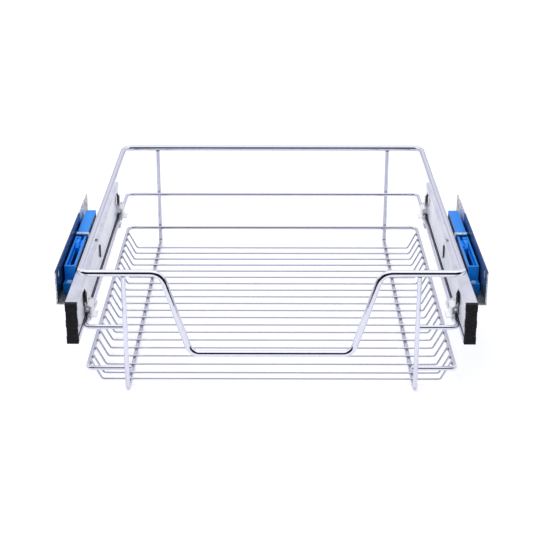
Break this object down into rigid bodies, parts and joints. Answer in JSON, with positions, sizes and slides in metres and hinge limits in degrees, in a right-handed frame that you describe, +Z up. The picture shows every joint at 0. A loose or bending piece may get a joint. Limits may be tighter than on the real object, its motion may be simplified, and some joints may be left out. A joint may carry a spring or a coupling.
{
  "type": "pull-out cabinet basket",
  "caption": "Chromed wire basket with a dipped front that pulls out of a kitchen cabinet on ball-bearing soft-close runners with side mounting plates.",
  "frame": {"origin": "middle of the whole assembly in X and Y, on the plane that the wire feet stand on", "axes": "+Z up, +Y back into the cabinet, +X to the right seen from the front; the basket pulls out along -Y"},
  "size_m": [0.468, 0.484, 0.1448],
  "materials": {
    "chrome_wire": "polished chrome plate on drawn steel wire",
    "galvanised_steel": "satin bright-zinc sheet steel",
    "plate_steel": "zinc-coated sheet steel with a fine spangle",
    "cage_steel": "thin pressed steel",
    "ball_steel": "polished hardened steel",
    "rivet_steel": "zinc-plated steel",
    "spring_steel": "oiled spring steel",
    "damper_grey": "grey acetal",
    "blue_plastic": "moulded plastic with a light sheen",
    "light_blue_plastic": "moulded plastic with a light sheen",
    "blue_label": "glossy printed film",
    "white_clip": "slightly translucent moulded plastic",
    "black_rubber": "matt moulded rubber"
  },
  "bodies": {
    "cabinet_side": {"left_mounting_plate": "plate_steel", "left_plate_label": "blue_label", "left_cabinet_member": "galvanised_steel", "left_slide_rivets": "rivet_steel", "left_stop_buffer": "black_rubber", "left_catch_housing": "blue_plastic", "left_damper_block": "blue_plastic", "left_unit_screws": "rivet_steel", "left_damper_cylinder": "damper_grey", "left_closing_spring": "spring_steel", "right_mounting_plate": "plate_steel", "right_plate_label": "blue_label", "right_cabinet_member": "galvanised_steel", "right_slide_rivets": "rivet_steel", "right_stop_buffer": "black_rubber", "right_catch_housing": "blue_plastic", "right_damper_block": "blue_plastic", "right_unit_screws": "rivet_steel", "right_damper_cylinder": "damper_grey", "right_closing_spring": "spring_steel"},
    "basket": {"top_frame": "chrome_wire", "middle_frame": "chrome_wire", "lower_rim": "chrome_wire", "floor_wires": "chrome_wire", "left_strut": "chrome_wire", "right_strut": "chrome_wire", "left_drawer_rail": "galvanised_steel", "left_end_cap": "black_rubber", "left_catch_finger": "plate_steel", "left_finger_rivets": "rivet_steel", "right_drawer_rail": "galvanised_steel", "right_end_cap": "black_rubber", "right_catch_finger": "plate_steel", "right_finger_rivets": "rivet_steel"},
    "left_middle_member": {"left_middle_member": "galvanised_steel"},
    "left_outer_cage": {"left_outer_ball_cage": "cage_steel", "left_outer_balls": "ball_steel"},
    "left_inner_cage": {"left_inner_ball_cage": "cage_steel", "left_inner_balls": "ball_steel"},
    "left_catch": {"left_catch": "light_blue_plastic", "left_damper_rod": "ball_steel"},
    "left_front_clip": {"left_front_clip": "white_clip"},
    "left_rear_clip": {"left_rear_clip": "white_clip"},
    "right_middle_member": {"right_middle_member": "galvanised_steel"},
    "right_outer_cage": {"right_outer_ball_cage": "cage_steel", "right_outer_balls": "ball_steel"},
    "right_inner_cage": {"right_inner_ball_cage": "cage_steel", "right_inner_balls": "ball_steel"},
    "right_catch": {"right_catch": "light_blue_plastic", "right_damper_rod": "ball_steel"},
    "right_front_clip": {"right_front_clip": "white_clip"},
    "right_rear_clip": {"right_rear_clip": "white_clip"}
  },
  "joints": [
    {"name": "basket_slide", "type": "slide", "parent": "cabinet_side", "child": "basket", "axis": [0, -1, 0], "range_m": [0, 0.4]},
    {"name": "left_middle_member_slide", "type": "slide", "parent": "cabinet_side", "child": "left_middle_member", "axis": [0, -1, 0], "range_m": [0, 0.2]},
    {"name": "left_outer_cage_slide", "type": "slide", "parent": "cabinet_side", "child": "left_outer_cage", "axis": [0, -1, 0], "range_m": [0, 0.3]},
    {"name": "left_inner_cage_slide", "type": "slide", "parent": "cabinet_side", "child": "left_inner_cage", "axis": [0, -1, 0], "range_m": [0, 0.1]},
    {"name": "left_catch_slide", "type": "slide", "parent": "cabinet_side", "child": "left_catch", "axis": [0, -1, 0], "range_m": [0, 0.06], "stiffness_N_per_m": 60, "springref_m": -0.03, "deforming": ["left_closing_spring"]},
    {"name": "left_front_clip_hinge", "type": "hinge", "parent": "basket", "child": "left_front_clip", "pos_m": [-0.202, -0.17303, 0.08625], "axis": [0, -1, 0], "range_deg": [0, 35]},
    {"name": "left_rear_clip_hinge", "type": "hinge", "parent": "basket", "child": "left_rear_clip", "pos_m": [-0.202, 0.14597, 0.08625], "axis": [0, -1, 0], "range_deg": [0, 35]},
    {"name": "right_middle_member_slide", "type": "slide", "parent": "cabinet_side", "child": "right_middle_member", "axis": [0, -1, 0], "range_m": [0, 0.2]},
    {"name": "right_outer_cage_slide", "type": "slide", "parent": "cabinet_side", "child": "right_outer_cage", "axis": [0, -1, 0], "range_m": [0, 0.3]},
    {"name": "right_inner_cage_slide", "type": "slide", "parent": "cabinet_side", "child": "right_inner_cage", "axis": [0, -1, 0], "range_m": [0, 0.1]},
    {"name": "right_catch_slide", "type": "slide", "parent": "cabinet_side", "child": "right_catch", "axis": [0, -1, 0], "range_m": [0, 0.06], "stiffness_N_per_m": 60, "springref_m": -0.03, "deforming": ["right_closing_spring"]},
    {"name": "right_front_clip_hinge", "type": "hinge", "parent": "basket", "child": "right_front_clip", "pos_m": [0.202, -0.17303, 0.08625], "axis": [0, 1, 0], "range_deg": [0, 35]},
    {"name": "right_rear_clip_hinge", "type": "hinge", "parent": "basket", "child": "right_rear_clip", "pos_m": [0.202, 0.14597, 0.08625], "axis": [0, 1, 0], "range_deg": [0, 35]}
  ],
  "couplings": [
    {"joint": "left_middle_member_slide", "follows": "basket_slide", "ratio": 0.5},
    {"joint": "left_outer_cage_slide", "follows": "basket_slide", "ratio": 0.75},
    {"joint": "left_inner_cage_slide", "follows": "basket_slide", "ratio": 0.25},
    {"joint": "right_middle_member_slide", "follows": "basket_slide", "ratio": 0.5},
    {"joint": "right_outer_cage_slide", "follows": "basket_slide", "ratio": 0.75},
    {"joint": "right_inner_cage_slide", "follows": "basket_slide", "ratio": 0.25}
  ]
}
